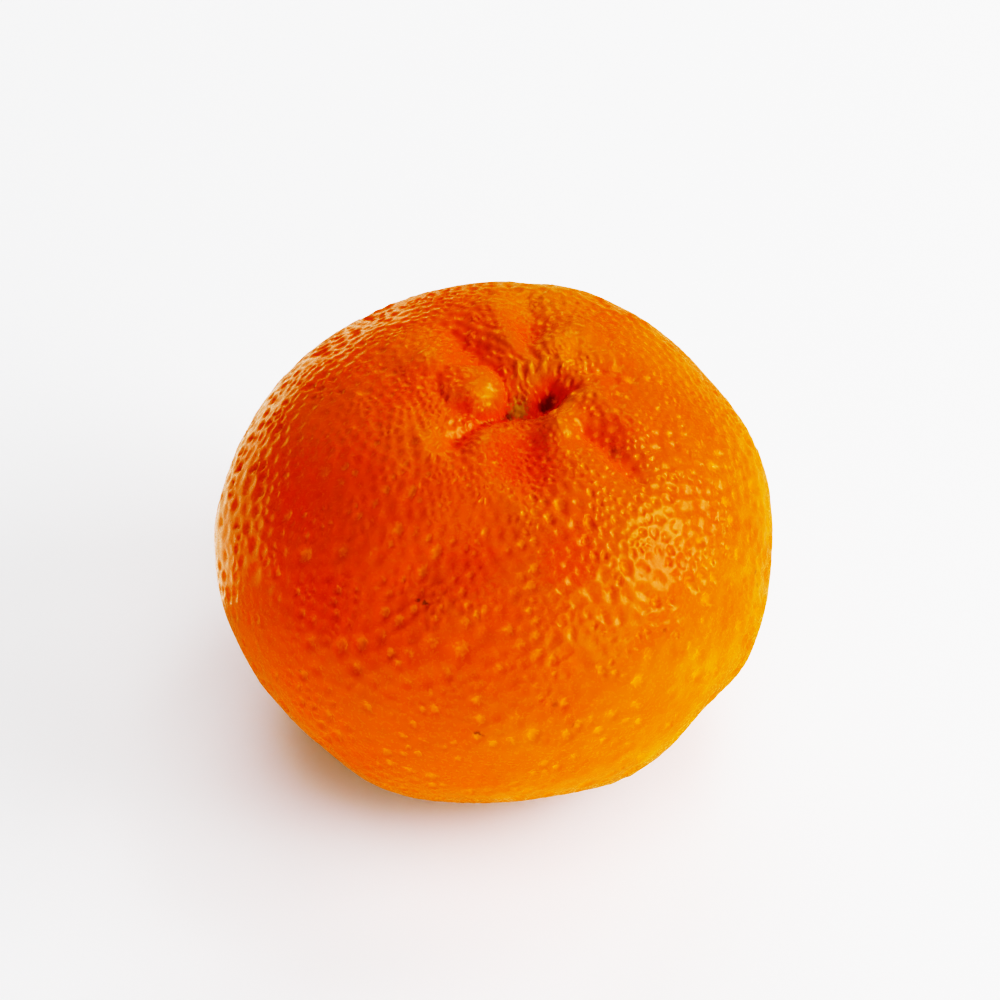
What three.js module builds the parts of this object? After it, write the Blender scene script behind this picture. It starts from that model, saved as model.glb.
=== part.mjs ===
// A mandarin, ripe and picked, resting on a flat spot beside its blossom end.
//
// The fruit grew as one piece, so it is one closed body: the outer surface of its peel.
// Millimetres, +Z up. The origin is in the middle of the fruit, on the surface that it rests on.
//
// The peel is shaped in the fruit's own frame, with the stem at +Z, and then leans with the stem.
// Two ways of saying where a feature is are used:
//   - over the whole fruit, how far DOWN from the stem it is and how far AROUND the stem, in degrees.
//     Around is 0 at the right, 90 at the back and -90 at the front.
//   - near the stem, a flat map of the peel in mm, [right, back], with the stem scar at [0, 0].

import * as THREE from 'three';
import { mergeVertices } from 'three/addons/utils/BufferGeometryUtils.js';

// ---- Driving dimensions ----

const WIDTH = 62;                     // across the equator, left to right
const DEPTH = 61;                     // across the equator, front to back
const HEIGHT = 50;                    // stem end to blossom end, before the ends dip in

const STEM_LEAN = new THREE.Vector3(0.115, -0.14, 0.985).normalize();
const FOOT_DEPTH = 0.8;               // how much the resting spot is pressed flat

const MESH_DETAIL = 20;               // splits of each icosahedron edge, less one
const STEM_CROWDING = 0.3;            // how much closer together the corners are at the stem

// ---- The peel's form ----

// Broad swellings and flats that make the outline uneven: where, how wide and how high (mm).
const SWELLINGS = [
  { down: 67, around: 10, spread: 17, height: 0.9 },     // right side, above the middle
  { down: 47, around: 60, spread: 24, height: 1.2 },     // back right shoulder
  { down: 93, around: -22, spread: 10, height: 0.5 },    // right side, towards the front
  { down: 103, around: -38, spread: 8, height: -0.8 },   // a flat under it
  { down: 112, around: -53, spread: 12, height: 0.9 },   // front right, low down
  { down: 121, around: -112, spread: 17, height: 1.4 },  // front left, low down
  { down: 58, around: 137, spread: 19, height: -1.2 },   // back left shoulder
  { down: 78, around: 165, spread: 17, height: -0.9 },   // left side, at the back
];

// The stem end: a wide basin with a narrow throat in it.
const BASIN = { depth: 2.6, radius: 9.5 };
const THROAT = { depth: 1.5, radius: 2.2 };

// The blossom end: a shallow dimple.
const BLOSSOM_DIMPLE = { depth: 1.3, radius: 3.2 };

// Valleys and ridges in the peel around the stem, each along a line on the stem map.
const FOLDS = [
  { from: [2.2, 0.2], to: [3.6, 2.6], width: 1.4, height: -2.0 },     // the pocket beside the scar
  { from: [4.0, 2.6], to: [10.5, 4.0], width: 1.6, height: -0.5 },    // its tail, to the right
  { from: [-0.8, 4.4], to: [4.8, 5.0], width: 1.3, height: 0.5 },     // the crest behind the scar
  { from: [-1.5, -0.6], to: [-6.8, -5.8], width: 1.5, height: -0.9 }, // front left valley
  { from: [7.9, -3.9], to: [11.6, -6.6], width: 1.9, height: -0.8 },  // front right valley
  { from: [1.2, -6.5], to: [2.0, -11.0], width: 2.4, height: -0.6 },  // front valley
  { from: [-4.8, 6.6], to: [-7.5, 10.4], width: 1.7, height: -0.6 },  // back left valley
  { from: [-1.4, 7.4], to: [-1.8, 14.0], width: 1.8, height: 0.5 },   // the ridge beside it
  { from: [1.4, 9.8], to: [0.8, 16.0], width: 1.9, height: -0.9 },    // back valley
];

// Rounded knobs between the folds: where on the stem map, how wide and how high.
const KNOBS = [
  { at: [-3.9, 1.2], radius: 2.2, height: 1.2 },
  { at: [3.4, 7.8], radius: 2.4, height: 0.8 },
  { at: [4.6, -2.6], radius: 2.0, height: 0.9 },
  { at: [0.0, -4.0], radius: 2.0, height: 0.6 },
  { at: [-3.4, -5.6], radius: 2.2, height: 0.5 },
  { at: [9.0, 1.2], radius: 3.0, height: 0.5 },
  { at: [8.5, 8.2], radius: 3.0, height: 0.5 },
  { at: [-9.5, 4.5], radius: 3.2, height: 0.5 },
];

// A long shallow valley down the front, as a line of points on the whole fruit.
const FRONT_VALLEY = { down: [36, 58], around: [-97, -121], width: 2.6, depth: 0.5 };

const DEGREE = Math.PI / 180;
const MAP_RADIUS = 25;                // mm of stem map to each radian down from the stem
const STEM_END = new THREE.Vector3(0, 0, 1);
const BLOSSOM_END = new THREE.Vector3(0, 0, -1);

/** The direction in the fruit's frame that is so many degrees down from the stem and around it. */
function direction(down, around) {
  const stemward = Math.cos(down * DEGREE);
  const outward = Math.sin(down * DEGREE);
  const right = outward * Math.cos(around * DEGREE);
  const back = outward * Math.sin(around * DEGREE);
  return new THREE.Vector3(right, back, stemward);
}

/** A smooth hill, 1 at its middle and about a third at distance = spread. */
function hill(distance, spread) {
  return Math.exp(-((distance / spread) ** 2));
}

/** How far the plain ellipsoid's surface is from its middle, along a unit vector. */
function roundness(way) {
  return 1 / Math.hypot(way.x / (WIDTH / 2), way.y / (DEPTH / 2), way.z / (HEIGHT / 2));
}

/** Where a unit vector falls on the stem map. */
function onStemMap(way) {
  const around = Math.atan2(way.y, way.x);
  const reach = MAP_RADIUS * way.angleTo(STEM_END);
  return new THREE.Vector2(reach * Math.cos(around), reach * Math.sin(around));
}

/** How far a point of the map is from the line between two others. */
function distanceToLine(point, from, to) {
  const line = new THREE.Line3(new THREE.Vector3(...from, 0), new THREE.Vector3(...to, 0));
  const place = new THREE.Vector3(point.x, point.y, 0);
  return line.closestPointToPoint(place, true, new THREE.Vector3()).distanceTo(place);
}

function swellings(way) {
  return SWELLINGS.reduce((sum, { down, around, spread, height }) => {
    const away = way.angleTo(direction(down, around)) / DEGREE;
    return sum + height * hill(away, spread);
  }, 0);
}

function stemEnd(way) {
  const point = onStemMap(way);
  const reach = point.length();
  let height = -BASIN.depth * hill(reach, BASIN.radius) - THROAT.depth * hill(reach, THROAT.radius);
  for (const fold of FOLDS) {
    height += fold.height * hill(distanceToLine(point, fold.from, fold.to), fold.width);
  }
  for (const knob of KNOBS) {
    height += knob.height * hill(point.distanceTo(new THREE.Vector2(...knob.at)), knob.radius);
  }
  return height;
}

function blossomEnd(way) {
  const reach = MAP_RADIUS * way.angleTo(BLOSSOM_END);
  return -BLOSSOM_DIMPLE.depth * hill(reach, BLOSSOM_DIMPLE.radius);
}

function frontValley(way) {
  const ends = [0, 1].map((i) => direction(FRONT_VALLEY.down[i], FRONT_VALLEY.around[i]));
  const line = new THREE.Line3(...ends);
  const gap = line.closestPointToPoint(way, true, new THREE.Vector3()).normalize().angleTo(way);
  return -FRONT_VALLEY.depth * hill(MAP_RADIUS * gap, FRONT_VALLEY.width);
}

/** The peel's surface along a unit vector in the fruit's frame. */
function peelPoint(way) {
  const reach = roundness(way) + swellings(way) + stemEnd(way) + blossomEnd(way) + frontValley(way);
  return way.clone().multiplyScalar(reach);
}

// ---- The mesh ----

/** Moves a unit vector towards the stem, so that the mesh is finer there. */
function crowdToStem(way) {
  const down = way.angleTo(STEM_END);
  const crowded = down - STEM_CROWDING * Math.sin(down);
  const around = Math.atan2(way.y, way.x);
  return direction(crowded / DEGREE, around / DEGREE);
}

/** An even mesh of unit vectors, whose neighbouring triangles share their corners. */
function evenSphere() {
  const sphere = new THREE.IcosahedronGeometry(1, MESH_DETAIL);
  sphere.deleteAttribute('normal');
  sphere.deleteAttribute('uv');
  return mergeVertices(sphere, 1e-4);
}

/** The turn that takes the fruit's own frame to its leaning place. */
function leaning() {
  const right = new THREE.Vector3(1, 0, 0).addScaledVector(STEM_LEAN, -STEM_LEAN.x).normalize();
  const back = new THREE.Vector3().crossVectors(STEM_LEAN, right);
  return new THREE.Matrix4().makeBasis(right, back, STEM_LEAN);
}

/** Presses the lowest part flat and stands it at z = 0, in the middle of its own outline. */
function setDown(geometry) {
  geometry.computeBoundingBox();
  const { min, max } = geometry.boundingBox;
  const floor = min.z + FOOT_DEPTH;
  const places = geometry.getAttribute('position');
  for (let i = 0; i < places.count; i += 1) {
    places.setX(i, places.getX(i) - (min.x + max.x) / 2);
    places.setY(i, places.getY(i) - (min.y + max.y) / 2);
    places.setZ(i, Math.max(places.getZ(i) - floor, 0));
  }
}

function peelGeometry() {
  const geometry = evenSphere();
  const places = geometry.getAttribute('position');
  const lean = leaning();
  const way = new THREE.Vector3();
  for (let i = 0; i < places.count; i += 1) {
    way.fromBufferAttribute(places, i).normalize();
    const place = peelPoint(crowdToStem(way)).applyMatrix4(lean);
    places.setXYZ(i, place.x, place.y, place.z);
  }
  setDown(geometry);
  geometry.computeVertexNormals();
  return geometry;
}

function mandarin() {
  const peel = new THREE.MeshStandardMaterial({ color: 0xe8640c, roughness: 0.42, metalness: 0 });
  const mesh = new THREE.Mesh(peelGeometry(), peel);
  mesh.name = 'mandarin';
  return mesh;
}

const model = new THREE.Group();
model.add(mandarin());

export default model;
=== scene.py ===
"""A ripe mandarin: its finished peel, a pale studio floor, soft lights and the camera.

The CAD body gives the fruit's size, outline and lean. This script gives it its skin: a mesh that has
one dimple for every oil gland, the fine folds of the stem end, and a procedural peel material.
Positions are in metres in the row's frame, and sizes that are easier to read in millimetres say so.
"""
import math

import bmesh
import bpy
import numpy as np
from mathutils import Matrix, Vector, noise
from mathutils.bvhtree import BVHTree
from mathutils.geometry import delaunay_2d_cdt


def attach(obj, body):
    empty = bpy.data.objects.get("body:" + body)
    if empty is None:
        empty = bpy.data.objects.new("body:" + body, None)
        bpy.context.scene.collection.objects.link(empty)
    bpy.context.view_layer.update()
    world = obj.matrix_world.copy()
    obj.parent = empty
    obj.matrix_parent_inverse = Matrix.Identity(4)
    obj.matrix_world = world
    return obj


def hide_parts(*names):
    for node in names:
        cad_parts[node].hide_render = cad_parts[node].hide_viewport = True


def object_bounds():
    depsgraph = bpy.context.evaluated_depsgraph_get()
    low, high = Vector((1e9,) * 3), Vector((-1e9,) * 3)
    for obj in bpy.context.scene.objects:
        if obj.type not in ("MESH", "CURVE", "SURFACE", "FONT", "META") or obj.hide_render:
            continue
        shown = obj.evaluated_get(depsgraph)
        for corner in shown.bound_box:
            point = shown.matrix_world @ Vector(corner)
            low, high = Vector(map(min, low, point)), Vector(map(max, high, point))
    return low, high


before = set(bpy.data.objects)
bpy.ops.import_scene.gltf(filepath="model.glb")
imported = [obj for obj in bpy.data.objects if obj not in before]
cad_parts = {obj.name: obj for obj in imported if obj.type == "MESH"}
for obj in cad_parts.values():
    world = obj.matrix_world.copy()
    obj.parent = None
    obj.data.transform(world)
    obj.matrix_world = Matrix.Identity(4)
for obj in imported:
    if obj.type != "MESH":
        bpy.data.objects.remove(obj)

cad_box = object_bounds()

MM = 0.001
SEED = 7

# ---- The fruit ----

STEM = Vector((0.115, -0.14, 0.985)).normalized()    # the way that the stem end points
RIGHT = (Vector((1, 0, 0)) - STEM * STEM.x).normalized()
BACK = STEM.cross(RIGHT)
MIDDLE = (cad_box[0] + cad_box[1]) / 2
MAP_RADIUS = 25.0        # mm of stem map to each radian down from the stem

# Oil glands: one dimple each.
GLANDS = 4200
SPACING_ROUNDS = 2       # each makes the glands' spacing more even
STEM_CROWDING = 0.4      # how much closer together they are at the stem
DIMPLE_RADIUS = (0.41, 0.49)    # as shares of the way to the next gland
DIMPLE_PROFILE = [(0.35, 0.74), (0.7, 0.34), (1.0, 0.03)]    # shares of its radius, and of its depth there
DIMPLE_SLOPE = (0.07, 0.5)      # depth as a share of radius, in the most closed gland and the most open
FEW_OPEN = 2.5                  # the higher this is, the fewer glands are open ones
RIDGE_RISE = 0.02               # mm that the peel between dimples stands up

# Some patches of peel have deeper dimples than others, and they are shallow at the stem.
PATCH_SIZE = 14.0               # mm
PATCH_PATTERN = Vector((-5.48, 5.48, -1.37))    # picks where the deep patches are
PATCH_STRENGTH = (0.8, 1.5)     # in a shallow patch and in the deepest
PATCH_CONTRAST = 1.4
STEM_SHALLOWING = 0.45
SHALLOW_REACH = 15.0            # mm from the stem

# Soft lumps: their size, their height all over, how much higher they are at the stem, in mm, and a number
# that gives each size a pattern of its own.
LUMPS = [
    {"size": 7.0, "height": 0.22, "more_at_stem": 0.0, "pattern": 0},
    {"size": 3.0, "height": 0.09, "more_at_stem": 0.2, "pattern": 5},
    {"size": 1.4, "height": 0.0, "more_at_stem": 0.15, "pattern": -5},
]
LUMPY_REACH = 13.0              # mm from the stem

SMOOTHING_ROUNDS = 24    # these hide the CAD body's facets
RELIEF_ROUNDS = 150      # and these leave only the fruit's overall form

# Low knobs around the stem, and the pocket beside the scar: the middle on the stem map, the reach across
# and along it, and the height, in mm. A blunt one has a flatter top and steeper sides.
KNOBS = [
    {"middle": (-5.2, 1.4), "reach": (3.7, 3.7), "height": 0.7, "blunt": True},    # the one by the scar
    {"middle": (3.6, 1.9), "reach": (2.3, 2.5), "height": -0.6, "blunt": True},    # the pocket
    {"middle": (3.4, 7.4), "reach": (3.0, 2.8), "height": 0.45},
    {"middle": (1.8, 5.4), "reach": (4.5, 1.7), "height": 0.3},       # the crest behind the pocket
    {"middle": (7.6, 1.8), "reach": (2.5, 2.5), "height": 0.35},
    {"middle": (3.9, -4.8), "reach": (2.6, 3.8), "height": 0.45},
    {"middle": (-4.8, -5.6), "reach": (2.4, 3.0), "height": 0.3},
    {"middle": (-1.4, 8.8), "reach": (2.4, 3.2), "height": 0.4},
    {"middle": (-9.9, -6.0), "reach": (1.8, 4.0), "height": 0.3},
    {"middle": (-9.3, 5.0), "reach": (2.6, 2.6), "height": 0.3},
    {"middle": (6.6, 11.0), "reach": (3.0, 3.5), "height": 0.35},
    {"middle": (12.5, -1.5), "reach": (3.0, 3.5), "height": 0.3},
]

# Fine folds there, each along a few points of the stem map in mm: how high it stands at its first and
# last point, and how far its slopes reach on its left and on its right as it is followed.
FOLDS = [
    # the near lip of the pocket beside the scar
    {"line": [(1.7, -0.8), (3.2, -0.5), (4.8, 1.2)], "heights": (-1.1, -1.2), "widths": (2.1, 0.3)},
    # the pocket's back wall
    {"line": [(3.6, 2.8), (4.2, 4.3)], "heights": (-0.3, -0.4), "widths": (0.9, 0.8)},
    # the crease from the scar to the front left
    {"line": [(-1.3, 0.4), (-3.5, -1.8), (-5.1, -3.5), (-7.6, -6.3)], "heights": (-0.8, -0.45),
     "widths": (1.2, 0.4)},
    # the groove between the left knob and the scar, and the one over the knob
    {"line": [(-1.6, 3.6), (-1.5, 2.0), (-1.1, 0.6)], "heights": (-0.35, -0.45), "widths": (0.5, 0.4)},
    {"line": [(-6.3, 4.4), (-4.6, 5.5), (-3.2, 5.1), (-1.9, 4.0)], "heights": (-0.25, -0.4),
     "widths": (0.6, 0.6)},
    # the thin lip behind the pocket's tail, and the hollow in front of it
    {"line": [(4.7, 3.9), (6.0, 4.1), (7.8, 4.4)], "heights": (0.35, 0.1), "widths": (0.3, 0.25)},
    {"line": [(4.4, 3.2), (6.2, 3.4), (8.0, 3.7)], "heights": (-0.45, -0.15), "widths": (0.35, 1.1)},
    # thin ridges that run back from the crest
    {"line": [(0.9, 4.8), (0.3, 6.2), (-1.2, 7.8)], "heights": (0.25, 0.15), "widths": (0.4, 0.3)},
    {"line": [(4.6, 5.2), (4.6, 6.8), (5.4, 8.6)], "heights": (0.3, 0.15), "widths": (0.7, 0.4)},
    {"line": [(-5.6, 8.1), (-4.9, 13.1)], "heights": (0.25, 0.1), "widths": (0.4, 0.4)},
    # hollows around the knobs
    {"line": [(7.1, -3.1), (9.7, -4.8), (12.2, -7.9)], "heights": (-0.5, -0.3), "widths": (1.1, 0.8)},
    {"line": [(-4.3, 7.2), (-6.1, 8.0), (-7.6, 10.9)], "heights": (-0.28, -0.12), "widths": (0.9, 0.9)},
    {"line": [(7.8, 5.5), (9.8, 5.7)], "heights": (-0.45, -0.3), "widths": (0.8, 0.9)},
    {"line": [(1.5, 9.4), (2.1, 11.2), (1.6, 13.6)], "heights": (-0.3, -0.15), "widths": (1.0, 1.0)},
    {"line": [(10.0, 1.4), (10.7, 0.7)], "heights": (-0.3, -0.3), "widths": (0.6, 0.6)},
    {"line": [(-0.6, -4.4), (-0.9, -7.0), (-0.4, -10.0)], "heights": (-0.9, -0.5), "widths": (3.0, 2.0)},
    {"line": [(-6.8, -1.6), (-4.6, -2.4)], "heights": (-0.3, -0.3), "widths": (0.7, 0.7)},
]

# The crest's pleats: short ridges that point to the stem, side by side from the first point to the last.
PLEATS = 6
PLEAT_ENDS = ((-1.4, 3.3), (4.6, 4.9))
PLEAT_LENGTH = 1.3
PLEAT_HEIGHT = 0.45
PLEAT_WIDTH = 0.33

# Marks on the peel: their place in the row's frame and their reach in mm, their colour, and how much they
# cover of the peel. The wide ones are soft patches of redder and yellower peel, partly the peel's own
# colour and partly painted shade where they are redder and painted light where they are yellower.
RED_PEEL_AND_SHADE = (0.50, 0.026, 0.0006)
YELLOW_PEEL_AND_LIGHT = (0.52, 0.11, 0.002)
SCAR_COLOUR = (0.33, 0.17, 0.03)
BARK_COLOUR = (0.10, 0.03, 0.008)
MARKS = [
    # the soft red and yellow patches, down to the scars: partly the peel's own colour, partly painted
    # shade and painted light, such as painted shade in the hollow in front of the stem scar
    {"place": (2.7, -10.2, 45.3), "reach": 5.0, "colour": RED_PEEL_AND_SHADE, "cover": 0.75},
    {"place": (-2.5, -5.1, 47.4), "reach": 2.6, "colour": RED_PEEL_AND_SHADE, "cover": 0.6},
    {"place": (-17.7, -21.4, 34.6), "reach": 6.0, "colour": RED_PEEL_AND_SHADE, "cover": 0.35},
    {"place": (-2.4, -21.7, 40.6), "reach": 4.0, "colour": RED_PEEL_AND_SHADE, "cover": 0.4},
    {"place": (7.6, -20.2, 40.6), "reach": 4.5, "colour": RED_PEEL_AND_SHADE, "cover": 0.45},
    {"place": (13.0, -5.6, 45.2), "reach": 3.0, "colour": RED_PEEL_AND_SHADE, "cover": 0.5},
    {"place": (4.4, 9.9, 47.6), "reach": 1.8, "colour": RED_PEEL_AND_SHADE, "cover": 0.5},
    {"place": (-2.0, 3.8, 47.8), "reach": 1.8, "colour": RED_PEEL_AND_SHADE, "cover": 0.4},
    {"place": (-10.0, 3.7, 48.2), "reach": 6.0, "colour": YELLOW_PEEL_AND_LIGHT, "cover": 0.4},
    # painted light on the fruit's top
    {"place": (5.0, 15.0, 45.6), "reach": 10.0, "colour": YELLOW_PEEL_AND_LIGHT, "cover": 0.75},
    {"place": (9.0, 4.5, 47.6), "reach": 5.0, "colour": YELLOW_PEEL_AND_LIGHT, "cover": 0.45},
    # painted light from the bright floor on the fruit's underside
    {"place": (4.0, -25.0, 8.0), "reach": 13.0, "colour": YELLOW_PEEL_AND_LIGHT, "cover": 0.35},
    # painted shade on the low front left, next to where the fruit meets the floor
    {"place": (-15.0, -25.5, 15.0), "reach": 6.0, "colour": RED_PEEL_AND_SHADE, "cover": 0.5},
    {"place": (18.0, 8.5, 43.5), "reach": 8.0, "colour": YELLOW_PEEL_AND_LIGHT, "cover": 0.6},
    {"place": (26.5, 4.0, 36.5), "reach": 8.0, "colour": YELLOW_PEEL_AND_LIGHT, "cover": 0.6},
    {"place": (-8.6, -8.7, 47.1), "reach": 6.0, "colour": YELLOW_PEEL_AND_LIGHT, "cover": 0.35},
    {"place": (-17.0, -3.0, 45.5), "reach": 8.0, "colour": YELLOW_PEEL_AND_LIGHT, "cover": 0.4},
    {"place": (6.9, 4.5, 48.6), "reach": 5.0, "colour": YELLOW_PEEL_AND_LIGHT, "cover": 0.4},
    {"place": (26.0, -16.0, 22.0), "reach": 7.0, "colour": YELLOW_PEEL_AND_LIGHT, "cover": 0.4},
    {"place": (18.0, -18.3, 36.5), "reach": 5.0, "colour": RED_PEEL_AND_SHADE, "cover": 0.3},
    # the scars of the stem and of the blossom
    {"place": (2.7, -1.7, 45.2), "reach": 1.9, "colour": BARK_COLOUR, "cover": 0.5},
    {"place": (2.5, -2.2, 44.7), "reach": 1.5, "colour": SCAR_COLOUR, "cover": 0.75},
    {"place": (-2.8, 3.4, 0.9), "reach": 1.6, "colour": SCAR_COLOUR, "cover": 0.75},
    # small brown marks
    {"place": (12.4, -7.9, 43.9), "reach": 1.1, "colour": BARK_COLOUR, "cover": 0.5},
    {"place": (-6.9, -23.7, 38.0), "reach": 0.42, "colour": BARK_COLOUR, "cover": 0.8},
    {"place": (-7.6, -23.4, 38.1), "reach": 0.35, "colour": BARK_COLOUR, "cover": 0.7},
    {"place": (-1.7, -30.2, 25.8), "reach": 0.45, "colour": BARK_COLOUR, "cover": 0.9},
    {"place": (-1.1, -30.2, 25.6), "reach": 0.4, "colour": BARK_COLOUR, "cover": 0.8},
    {"place": (-20.1, -23.1, 27.2), "reach": 0.45, "colour": BARK_COLOUR, "cover": 0.8},
    {"place": (6.2, -28.9, 28.5), "reach": 0.55, "colour": BARK_COLOUR, "cover": 0.5},
    {"place": (8.3, -29.0, 25.6), "reach": 0.6, "colour": BARK_COLOUR, "cover": 0.6},
    {"place": (27.9, -10.3, 29.1), "reach": 0.4, "colour": BARK_COLOUR, "cover": 0.8},
    {"place": (28.2, -10.7, 27.5), "reach": 0.35, "colour": BARK_COLOUR, "cover": 0.7},
    {"place": (17.5, -22.0, 32.3), "reach": 0.35, "colour": BARK_COLOUR, "cover": 0.6},
]
MARK_GRAIN = 0.35        # mm, the size of the raggedness of their edges
MARK_RAGGEDNESS = 1.6
MARK_EDGE = (-0.5, 0.2)  # where a mark starts to fade and where it ends

# ---- The peel's colour ----

# How yellow the peel is, partly its own ripeness and partly painted light and shade: in the middle, how
# much more it is half a width to the right, to the back and up, which paints the side that the lamps light
# from the right yellower, how much more on a knob than in a hollow for each mm, which paints light on the
# knobs and shade in the hollows, and in blotches of two sizes in mm.
MIDDLE_YELLOW = 0.6
YELLOW_AND_LIT_WAY = Vector((0.256, -0.032, -0.112))
RELIEF_SHADE_AND_LIGHT = 0.45
BLOTCHES = [(6.0, 0.045), (2.2, 0.045)]
# The peel's colours along its yellowness. The darkest red at 0 is painted shade for the deepest hollows,
# such as the pocket beside the scar, and the yellow end is partly painted light.
PEEL_AND_SHADE_COLOURS = [
    (0.0, (0.20, 0.006, 0.0004)),
    (0.2, (0.64, 0.046, 0.0008)),
    (0.44, (0.57, 0.060, 0.001)),
    (0.66, (0.47, 0.066, 0.0012)),
    (0.84, (0.48, 0.090, 0.002)),
    (1.0, (0.51, 0.145, 0.003)),
]
# A pale fleck in the open glands' dimples: partly the glands' own paler colour, partly a painted glint and
# painted light that lifts the shade inside the dimple.
GLAND_AND_GLINT_COLOUR = (0.74, 0.16, 0.005)
GLAND_AND_GLINT_COVER = 0.65       # how much of it shows in the most open dimples
GLAND_AND_GLINT_EDGE = (0.55, 1.05)       # where this fleck starts to show and where it is at its strongest
GLAND_AND_GLINT_RAGGEDNESS = 0.8

GRAIN_SIZE = 0.4         # mm, of the finest roughness
GRAIN_ROUGHNESS = (0.16, 0.30)
KNOB_DULLNESS = 0.25     # how much rougher the highest knobs are
KNOB_RELIEF = (0.5, 1.2)        # mm, where that starts and where it is complete

# ---- The floor, the lights and the camera ----

FLOOR_HALF_WIDTH = 0.6
BACKDROP_BRIGHTNESS = 1.6

# The lamps: the way each stands from the fruit, how far off, its size and its power. The peel's gloss
# shows only some of them.
LAMPS = [
    {"name": "window", "way": (0.86, -0.12, 0.5), "distance": 0.6, "size": (0.36, 0.32), "power": 3.2,
     "in_gloss": True},
    {"name": "side", "way": (0.85, -0.35, 0.35), "distance": 0.6, "size": (0.24, 0.24), "power": 1.2,
     "in_gloss": False},
    {"name": "right_back", "way": (0.7, 0.55, 0.45), "distance": 0.8, "size": (0.4, 0.4), "power": 2.2,
     "in_gloss": False},
    {"name": "overhead", "way": (0.1, -0.3, 0.93), "distance": 0.8, "size": (0.6, 0.6), "power": 3.6,
     "in_gloss": False},
    {"name": "front", "way": (0.65, -0.7, 0.32), "distance": 0.8, "size": (0.5, 0.3), "power": 1.2,
     "in_gloss": True},
    {"name": "left", "way": (-0.7, 0.6, 0.25), "distance": 0.8, "size": (0.6, 0.3), "power": 1.5,
     "in_gloss": False},
    {"name": "far_side", "way": (0, 0.8, 0.6), "distance": 0.8, "size": (0.5, 0.3), "power": 2.6,
     "in_gloss": False},
    {"name": "glint", "way": (-0.41, -0.59, 0.69), "distance": 0.8, "size": (0.06, 0.08), "power": 0.12,
     "in_gloss": True},
    {"name": "back", "way": (0.1, 0.82, 0.57), "distance": 0.8, "size": (0.3, 0.15), "power": 0.5,
     "in_gloss": True},
    {"name": "top_strip", "way": (0.3, 0.35, 0.87), "distance": 0.8, "size": (0.2, 0.1), "power": 0.6,
     "in_gloss": True},
]

# Bright cards that lie on the floor: from and to along X and Y, and how bright they are. The peel's gloss
# shows all but the one in front, and only that one lights the peel.
FLOOR_CARDS = [
    {"x": (-1.2, -0.03), "y": (0.008, 1.8), "brightness": 1.7, "in_gloss": True},
    {"x": (-0.03, 0.5), "y": (0.008, 1.8), "brightness": 0.7, "in_gloss": True},
    {"x": (0.0, 0.5), "y": (-0.03, 0.008), "brightness": 0.5, "in_gloss": True},
    {"x": (-1.2, 0.0), "y": (-0.03, 0.008), "brightness": 0.35, "in_gloss": True},
    {"x": (-0.35, 0.35), "y": (-0.4, -0.03), "brightness": 2.6, "in_gloss": False},
]
CARD_COLOUR = (1, 0.93, 0.8)
CARD_HEIGHT = 2.0 * MM

VIEW_ELEVATION = 43.0
VIEW_DISTANCE = 0.263
VIEW_LENS = 85.0
VIEW_SHIFT = (0.6 * MM, 4.0 * MM)    # the fruit is a little left of and below the picture's middle

# What the film makes of the light that falls on it, from no light to FILM_WHITE.
FILM_WHITE = 3.0
FILM_CURVE = [(0, 0), (0.03, 0.004), (0.06, 0.02), (0.12, 0.08), (0.25, 0.25), (0.45, 0.53), (0.6, 0.66),
              (0.8, 0.765), (1.0, 0.83), (1.25, 0.89), (1.5, 0.93), (2.0, 0.95), (3.0, 0.955)]
# Before that it darkens weak blue, so that a faint sheen on the peel stays orange.
BLUE_CURVE = [(0, 0), (0.08, 0.015), (0.2, 0.13), (0.4, 0.38), (0.8, 0.8), (3.0, 3.0)]


# ---------------------------------------------------------------- mesh

def unit(vectors):
    return vectors / np.linalg.norm(vectors, axis=1, keepdims=True)


def joined_up(ways):
    """The triangles that join unit vectors into a closed ball, each with its nearest neighbours.

    The first vector has to be (0, 0, -1). Seen from there, the others are projected to a plane, where
    circles stay circles, so that the plane's Delaunay triangles are the ball's.
    """
    flat = ways[1:, :2] / (1 + ways[1:, 2:])
    found = delaunay_2d_cdt([Vector(p) for p in flat.tolist()], [], [], 0, 0.0)
    triangles = np.array(found[2]) + 1
    starts = triangles.reshape(-1).tolist()
    ends = np.roll(triangles, -1, axis=1).reshape(-1).tolist()
    sides = set(zip(starts, ends))
    closing = [(b, a, 0) for a, b in zip(starts, ends) if (b, a) not in sides]
    return np.concatenate([triangles, closing])


def scattered_glands(draw):
    """Random unit vectors, evenly spaced but in no rows, and the triangles between them."""
    ways = unit(draw.normal(size=(GLANDS, 3)))
    pole = np.array([0, 0, -1.0])
    for _ in range(SPACING_ROUNDS):
        ways[0] = pole
        triangles = joined_up(ways)
        a, b = triangles.reshape(-1), np.roll(triangles, -1, axis=1).reshape(-1)
        ways = unit(np.stack([np.bincount(a, ways[b, k], minlength=GLANDS) for k in range(3)], axis=1))
    ways[0] = pole
    return ways, joined_up(ways)


def crowd_to_stem(ways):
    """Moves unit vectors in the fruit's frame towards the stem, where glands are finer."""
    down = np.arccos(np.clip(ways[:, 2], -1, 1))
    around = np.arctan2(ways[:, 1], ways[:, 0])
    down = down - STEM_CROWDING * np.sin(down) * (1 + np.cos(down)) / 2
    flat = np.sin(down)
    return np.stack([flat * np.cos(around), flat * np.sin(around), np.cos(down)], axis=1)


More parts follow.
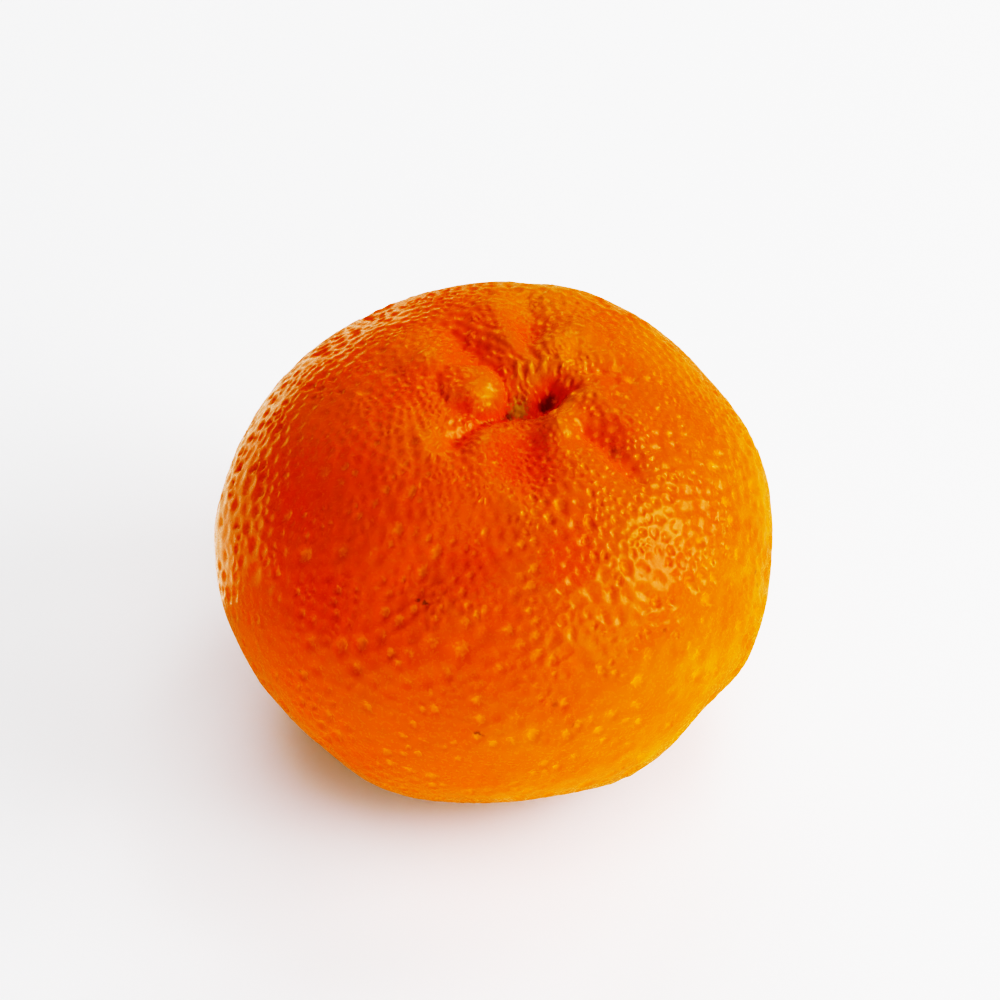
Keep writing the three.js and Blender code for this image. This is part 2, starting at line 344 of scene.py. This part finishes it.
def dimpled_mesh(ways, triangles, radius_share):
    """Rings of points around each gland, joined up with the middles of the triangles between glands.

    Returns the finer mesh's unit vectors and triangles. The glands come first, then each ring's points,
    the innermost ring first, then the triangles' middles.
    """
    starts = triangles.reshape(-1)
    ends = np.roll(triangles, -1, axis=1).reshape(-1)
    # Every edge is met once each way round, so the list of (start, end) holds each gland's whole ring.
    spoke = {pair: i for i, pair in enumerate(zip(starts.tolist(), ends.tolist()))}
    rings = []
    for share, _ in DIMPLE_PROFILE:
        out = share * radius_share[starts][:, None]
        rings.append(unit(ways[starts] + (ways[ends] - ways[starts]) * out))
    middles = unit(ways[triangles].sum(axis=1))
    first = [len(ways) + k * len(starts) for k in range(len(rings) + 1)]
    faces = []
    for t, corners in enumerate(triangles.tolist()):
        around_middle = []
        for k in range(3):
            here, after, before = corners[k], corners[(k + 1) % 3], corners[k - 1]
            left, right = spoke[(here, before)], spoke[(here, after)]
            faces.append((here, first[0] + right, first[0] + left))
            for inner, outer in zip(first, first[1:-1]):
                faces.append((inner + left, inner + right, outer + right))
                faces.append((inner + left, outer + right, outer + left))
            around_middle += [first[-2] + left, first[-2] + right]
        for a, b in zip(around_middle, around_middle[1:] + around_middle[:1]):
            faces.append((a, b, first[-1] + t))
    return np.concatenate([ways, *rings, middles]), np.array(faces)


def cad_reach(ways):
    """How far the CAD body's surface is from the fruit's middle, along each unit vector."""
    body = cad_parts["mandarin"].data
    tree = BVHTree.FromPolygons([v.co for v in body.vertices], [p.vertices for p in body.polygons])
    return np.array([(tree.ray_cast(MIDDLE, Vector(w))[0] - MIDDLE).length for w in ways])


def smoothed(values, triangles, rounds):
    """Each value drawn half way to the mean of its neighbours, so many times over."""
    a = triangles.reshape(-1)
    b = np.roll(triangles, -1, axis=1).reshape(-1)
    count = np.bincount(a, minlength=len(values))
    for _ in range(rounds):
        mean = np.bincount(a, values[b], minlength=len(values)) / count
        values = (values + mean) / 2
    return values


def to_row(ways):
    """From the fruit's own frame, with the stem at +Z, to the row's."""
    return ways @ np.array([RIGHT, BACK, STEM])


def stem_map(ways):
    """Where unit vectors in the fruit's frame fall on the flat map of the stem end, in mm."""
    down = np.arccos(np.clip(ways[:, 2], -1, 1))
    around = np.arctan2(ways[:, 1], ways[:, 0])
    return MAP_RADIUS * down[:, None] * np.stack([np.cos(around), np.sin(around)], axis=1)


def along_line(points, line):
    """How far points of the stem map are from a line, and how far along it they are, from 0 to 1.

    The distance is more than 0 on the line's left and less than 0 on its right.
    """
    corners = np.array(line)
    steps = np.diff(corners, axis=0)
    lengths = np.linalg.norm(steps, axis=1)
    away = np.full(len(points), np.inf)
    share = np.zeros(len(points))
    done = 0.0
    for start, step, length in zip(corners, steps, lengths):
        along = np.clip((points - start) @ step / length**2, 0, 1)
        gap = points - start - along[:, None] * step
        side = np.where(step[0] * gap[:, 1] < step[1] * gap[:, 0], -1, 1)
        distance = np.linalg.norm(gap, axis=1)
        nearer = distance < np.abs(away)
        away = np.where(nearer, side * distance, away)
        share = np.where(nearer, (done + along * length) / lengths.sum(), share)
        done += length
    return away, share


def knobs(points):
    """How far the knobs raise points of the stem map, in mm."""
    rise = np.zeros(len(points))
    for knob in KNOBS:
        out = (points - np.array(knob["middle"])) / np.array(knob["reach"])
        squared = (out ** 2).sum(axis=1)
        fall = 1 - squared ** 2 if knob.get("blunt") else (1 - squared) ** 2
        rise += knob["height"] * np.where(squared < 1, fall, 0)
    return rise


def pleats():
    """The crest's pleats as folds."""
    first, last = np.array(PLEAT_ENDS)
    made = []
    for share in np.linspace(0, 1, PLEATS):
        foot = first + (last - first) * share
        head = foot + foot / np.linalg.norm(foot) * PLEAT_LENGTH
        made.append({"line": [tuple(foot), tuple(head)], "heights": (PLEAT_HEIGHT, PLEAT_HEIGHT),
                     "widths": (PLEAT_WIDTH, PLEAT_WIDTH)})
    return made


def folds(points):
    """How far the fine folds raise points of the stem map, in mm."""
    rise = np.zeros(len(points))
    for fold in FOLDS + pleats():
        away, share = along_line(points, fold["line"])
        first, last = fold["heights"]
        left, right = fold["widths"]
        height = first + (last - first) * share
        rise += height * np.exp(-(away / np.where(away > 0, left, right)) ** 2)
    return rise


def near_stem(points, reach):
    """1 at the stem, and less further off: about a third at so many mm from it."""
    return np.exp(-((points ** 2).sum(axis=1) / reach ** 2))


def noise_at(places, size, pattern):
    """Smooth noise at places in metres, in lumps of so many millimetres."""
    return np.array([noise.noise(Vector(p) / (size * MM) + pattern) for p in places])


def lumps(places, points):
    """How far the soft lumps raise the peel, in mm."""
    close = near_stem(points, LUMPY_REACH)
    rise = np.zeros(len(points))
    for lump in LUMPS:
        pattern = Vector([lump["pattern"]] * 3)
        rise += (lump["height"] + lump["more_at_stem"] * close) * noise_at(places, lump["size"], pattern)
    return rise


def dimples(radius_share, gaps, strength, ring_glands, middles, draw):
    """How far each point of the dimpled mesh stands above the smooth skin, in mm, and its dimple share.

    The dimple share is from 0, outside or in a closed gland's dimple, to 1 in the middle of an open one's.
    """
    shallow, steep = DIMPLE_SLOPE
    open_share = draw.random(len(gaps)) ** FEW_OPEN
    depth = radius_share * gaps * strength * (shallow + (steep - shallow) * open_share)
    rise = [-depth] + [-share * depth[ring_glands] for _, share in DIMPLE_PROFILE]
    inside = [open_share] + [share * open_share[ring_glands] for _, share in DIMPLE_PROFILE]
    rise.append(np.full(middles, RIDGE_RISE))
    inside.append(np.zeros(middles))
    return np.concatenate(rise), np.concatenate(inside)


def dimple_strength(places, points):
    """How deep the dimples of one patch of peel are, next to the others'. They are shallow at the stem."""
    shallow, deep = PATCH_STRENGTH
    patches = shallow + PATCH_CONTRAST * noise_at(places, PATCH_SIZE, PATCH_PATTERN)
    return np.clip(patches, shallow, deep) * (1 - STEM_SHALLOWING * near_stem(points, SHALLOW_REACH))


def gland_gaps(places, triangles):
    """How far each gland is from its neighbours on average."""
    a = triangles.reshape(-1)
    b = np.roll(triangles, -1, axis=1).reshape(-1)
    count = np.bincount(a, minlength=len(places))
    return np.bincount(a, np.linalg.norm(places[a] - places[b], axis=1), minlength=len(places)) / count


def peel_mesh():
    draw = np.random.default_rng(SEED)
    ways, triangles = scattered_glands(draw)
    ways = crowd_to_stem(ways)
    radius_share = draw.uniform(*DIMPLE_RADIUS, size=len(ways))
    fine_ways, fine_triangles = dimpled_mesh(ways, triangles, radius_share)
    row_ways = to_row(fine_ways)
    reach = smoothed(cad_reach(row_ways), fine_triangles, SMOOTHING_ROUNDS)
    points = stem_map(fine_ways)
    reach += (knobs(points) + folds(points) + lumps(row_ways * reach[:, None], points)) * MM
    relief = (reach - smoothed(reach, fine_triangles, RELIEF_ROUNDS)) / MM
    gland_places = row_ways[:len(ways)] * reach[:len(ways), None]
    gaps = gland_gaps(gland_places, triangles) / MM
    strength = dimple_strength(gland_places, points[:len(ways)])
    rise, inside = dimples(radius_share, gaps, strength, triangles.reshape(-1), len(triangles), draw)
    places = row_ways * (reach + rise * MM)[:, None] + np.array(MIDDLE)
    places[:, 2] = np.maximum(places[:, 2], cad_box[0].z)
    mesh = bpy.data.meshes.new("mandarin_peel")
    mesh.from_pydata(places.tolist(), [], fine_triangles.tolist())
    mesh.shade_smooth()
    for name, values in (("dimple", inside), ("relief", relief)):
        mesh.attributes.new(name, "FLOAT", "POINT").data.foreach_set("value", values)
    return mesh


# ---------------------------------------------------------------- materials

def new_material(name):
    material = bpy.data.materials.new(name)
    material.use_nodes = True
    return material, material.node_tree.nodes["Principled BSDF"]


def set_inputs(tree, node, inputs):
    """Gives a node's inputs their values. A value that is another node's output is linked."""
    for key, value in inputs.items():
        if isinstance(value, bpy.types.NodeSocket):
            tree.links.new(value, node.inputs[key])
        else:
            node.inputs[key].default_value = value


def add_node(tree, kind, inputs={}, output=0, **settings):
    """Adds a shader node and returns one of its outputs."""
    node = tree.nodes.new("ShaderNode" + kind)
    for key, value in settings.items():
        setattr(node, key, value)
    set_inputs(tree, node, inputs)
    return node.outputs[output]


def maths(tree, operation, a, b=0.0):
    return add_node(tree, "Math", {0: a, 1: b}, operation=operation)


def scaled(tree, value, low, high, to_low=0.0, to_high=1.0):
    """A value taken from the range low to high to another range, and held inside it."""
    inputs = {"Value": value, "From Min": low, "From Max": high, "To Min": to_low, "To Max": to_high}
    return add_node(tree, "MapRange", inputs, interpolation_type="SMOOTHSTEP")


def mixed(tree, share, a, b):
    """Colour a, or as much of b as share says."""
    return add_node(tree, "Mix", {0: share, 6: a, 7: b}, output=2, data_type="RGBA")


def mesh_value(tree, name):
    """A number that the mesh holds for each of its points."""
    return add_node(tree, "Attribute", output=2, attribute_name=name)


def grainy(tree, place, size, detail=2.0):
    """Soft noise with grains about so many millimetres across, mostly from 0.3 to 0.7."""
    return add_node(tree, "TexNoise", {"Vector": place, "Scale": 1 / (size * MM), "Detail": detail})


def mottling(tree, place, size):
    """Soft blotches about so many millimetres across, from -1 to 1."""
    return scaled(tree, grainy(tree, place, size), 0.3, 0.7, -1.0, 1.0)


def ripeness_and_light(tree, place):
    """How yellow the peel is, from 0, a deep red orange, to 1: partly its ripeness, partly painted light
    on the side lit from the right and on knobs, and painted shade in hollows.
    """
    from_middle = add_node(tree, "VectorMath", {0: place, 1: MIDDLE}, operation="SUBTRACT")
    across = add_node(tree, "VectorMath", {0: from_middle, 1: YELLOW_AND_LIT_WAY / cad_box[1].x}, output=1,
                      operation="DOT_PRODUCT")
    total = maths(tree, "ADD", across, MIDDLE_YELLOW)
    parts = [(mesh_value(tree, "relief"), RELIEF_SHADE_AND_LIGHT)]
    parts += [(mottling(tree, place, size), amount) for size, amount in BLOTCHES]
    for value, amount in parts:
        total = maths(tree, "ADD", total, maths(tree, "MULTIPLY", value, amount))
    return total


def marked(tree, place, colour):
    """The peel's colour, with the scars, the small marks and the patches of painted shade and painted
    light on it.
    """
    ragged = maths(tree, "MULTIPLY", grainy(tree, place, MARK_GRAIN), -MARK_RAGGEDNESS)
    for mark in MARKS:
        middle = Vector(mark["place"]) * MM
        away = add_node(tree, "VectorMath", {0: place, 1: middle}, output=1, operation="DISTANCE")
        reaches = maths(tree, "MULTIPLY", away, 1 / (mark["reach"] * MM))
        cover = scaled(tree, maths(tree, "ADD", reaches, ragged), *MARK_EDGE, mark["cover"], 0.0)
        colour = mixed(tree, cover, colour, (*mark["colour"], 1))
    return colour


def ripe_and_lit_colour(tree, place):
    """The peel's colour, without glands and marks: partly its own, partly painted light and painted shade.
    """
    ramp = add_node(tree, "ValToRGB", {0: ripeness_and_light(tree, place)})
    colours = ramp.node.color_ramp
    for at, _ in PEEL_AND_SHADE_COLOURS[1:-1]:
        colours.elements.new(at)
    for element, (at, colour) in zip(colours.elements, PEEL_AND_SHADE_COLOURS):
        element.position = at
        element.color = (*colour, 1)
    return ramp


def with_glands_and_glints(tree, grain, colour):
    """The peel's colour, with a pale ragged fleck in each open gland's dimple: partly the gland's own
    paler colour, partly a painted glint and painted light that lifts the dimple's shade.
    """
    ragged = maths(tree, "MULTIPLY", grain, GLAND_AND_GLINT_RAGGEDNESS)
    openness = maths(tree, "ADD", mesh_value(tree, "dimple"), ragged)
    cover = scaled(tree, openness, *GLAND_AND_GLINT_EDGE, 0.0, GLAND_AND_GLINT_COVER)
    return mixed(tree, cover, colour, (*GLAND_AND_GLINT_COLOUR, 1))


def peel_material():
    material, shader = new_material("mandarin_peel")
    tree = material.node_tree
    place = add_node(tree, "TexCoord", output=3)
    grain = grainy(tree, place, GRAIN_SIZE, detail=3.0)
    bump = add_node(tree, "Bump", {"Strength": 0.5, "Distance": 0.05 * MM, "Height": grain})
    rough = scaled(tree, grain, 0.35, 0.65, *GRAIN_ROUGHNESS)
    duller = scaled(tree, mesh_value(tree, "relief"), *KNOB_RELIEF, 0.0, KNOB_DULLNESS)
    set_inputs(tree, shader, {
        "Base Color": marked(tree, place, with_glands_and_glints(tree, grain, ripe_and_lit_colour(tree, place))),
        "Roughness": maths(tree, "ADD", rough, duller),
        "IOR": 1.37,
        "Specular Tint": (1.0, 0.86, 0.66, 1),
        "Sheen Weight": 0.2,
        "Sheen Roughness": 0.5,
        "Sheen Tint": (1.0, 0.30, 0.03, 1),
        "Normal": bump,
    })
    return material


def floor_material():
    material, shader = new_material("floor")
    set_inputs(material.node_tree, shader, {
        "Base Color": (0.92, 0.925, 0.93, 1), "Roughness": 0.9, "Specular IOR Level": 0.1,
        "Emission Color": (1, 1, 1, 1), "Emission Strength": 0.06,
    })
    return material


# ---------------------------------------------------------------- pieces and stage

def add_object(name, data):
    thing = bpy.data.objects.new(name, data)
    bpy.context.scene.collection.objects.link(thing)
    return thing


def add_peel():
    peel = add_object("mandarin_peel", peel_mesh())
    peel.data.materials.append(peel_material())
    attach(peel, "root")
    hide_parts("mandarin")
    return peel


def add_floor():
    bm = bmesh.new()
    bmesh.ops.create_grid(bm, x_segments=1, y_segments=1, size=FLOOR_HALF_WIDTH)
    mesh = bpy.data.meshes.new("floor")
    bm.to_mesh(mesh)
    bm.free()
    mesh.materials.append(floor_material())
    floor = add_object("floor", mesh)
    floor.visible_glossy = False


def add_area_light(name, size, power, in_gloss, colour=(1, 1, 1)):
    """A soft rectangular light that the camera doesn't see."""
    data = bpy.data.lights.new(name, "AREA")
    data.shape = "RECTANGLE"
    data.size, data.size_y = size
    data.energy = power
    data.color = colour
    light = add_object(name, data)
    light.visible_camera = False
    light.visible_glossy = in_gloss
    return light


def add_lamp(lamp):
    """A lamp that faces the fruit."""
    light = add_area_light(lamp["name"], lamp["size"], lamp["power"], lamp["in_gloss"])
    way = Vector(lamp["way"]).normalized()
    light.location = MIDDLE + way * lamp["distance"]
    light.rotation_mode = "QUATERNION"
    light.rotation_quaternion = way.to_track_quat("Z", "Y")


def add_floor_card(card):
    """A card that lies on the floor and shines upwards."""
    (left, right), (front, back) = card["x"], card["y"]
    size = (right - left, back - front)
    power = card["brightness"] * math.pi * size[0] * size[1]
    light = add_area_light("card", size, power, card["in_gloss"], CARD_COLOUR)
    light.visible_diffuse = not card["in_gloss"]
    light.location = ((left + right) / 2, (front + back) / 2, CARD_HEIGHT)
    light.rotation_mode = "QUATERNION"
    light.rotation_quaternion = Vector((0, 0, -1)).to_track_quat("Z", "Y")


def add_backdrop():
    """A pale backdrop behind the floor. Only the camera sees it, and it lights nothing."""
    world = bpy.data.worlds.new("studio")
    world.use_nodes = True
    background = world.node_tree.nodes["Background"]
    background.inputs["Color"].default_value = (1, 1, 1, 1)
    background.inputs["Strength"].default_value = BACKDROP_BRIGHTNESS
    world.cycles_visibility.glossy = False
    world.cycles_visibility.diffuse = False
    bpy.context.scene.world = world


def add_lights():
    for lamp in LAMPS:
        add_lamp(lamp)
    for card in FLOOR_CARDS:
        add_floor_card(card)
    add_backdrop()


def draw_curve(curve, places):
    for place in places[1:-1]:
        curve.points.new(*place)
    for point, place in zip(curve.points, places):
        point.location = place


def set_film():
    """A photo's tones: darks a little darker, and whites that level off before they clip."""
    view = bpy.context.scene.view_settings
    view.view_transform = "Standard"
    view.use_curve_mapping = True
    view.curve_mapping.white_level = (FILM_WHITE, FILM_WHITE, FILM_WHITE)
    view.curve_mapping.extend = "HORIZONTAL"
    blue, all_channels = view.curve_mapping.curves[2:]
    draw_curve(blue, [(light / FILM_WHITE, kept / FILM_WHITE) for light, kept in BLUE_CURVE])
    draw_curve(all_channels, [(light / FILM_WHITE, shown) for light, shown in FILM_CURVE])
    view.curve_mapping.update()


def add_camera():
    slope = math.radians(VIEW_ELEVATION)
    to_camera = Vector((0, -math.cos(slope), math.sin(slope)))
    up = Vector((0, math.sin(slope), math.cos(slope)))
    data = bpy.data.cameras.new("camera")
    data.lens = VIEW_LENS
    data.clip_start = 0.01
    camera = add_object("camera", data)
    aim = MIDDLE + Vector((1, 0, 0)) * VIEW_SHIFT[0] + up * VIEW_SHIFT[1]
    camera.location = aim + to_camera * VIEW_DISTANCE
    camera.rotation_mode = "QUATERNION"
    camera.rotation_quaternion = to_camera.to_track_quat("Z", "Y")
    bpy.context.scene.camera = camera


add_camera()
add_floor()
add_lights()
add_peel()
set_film()
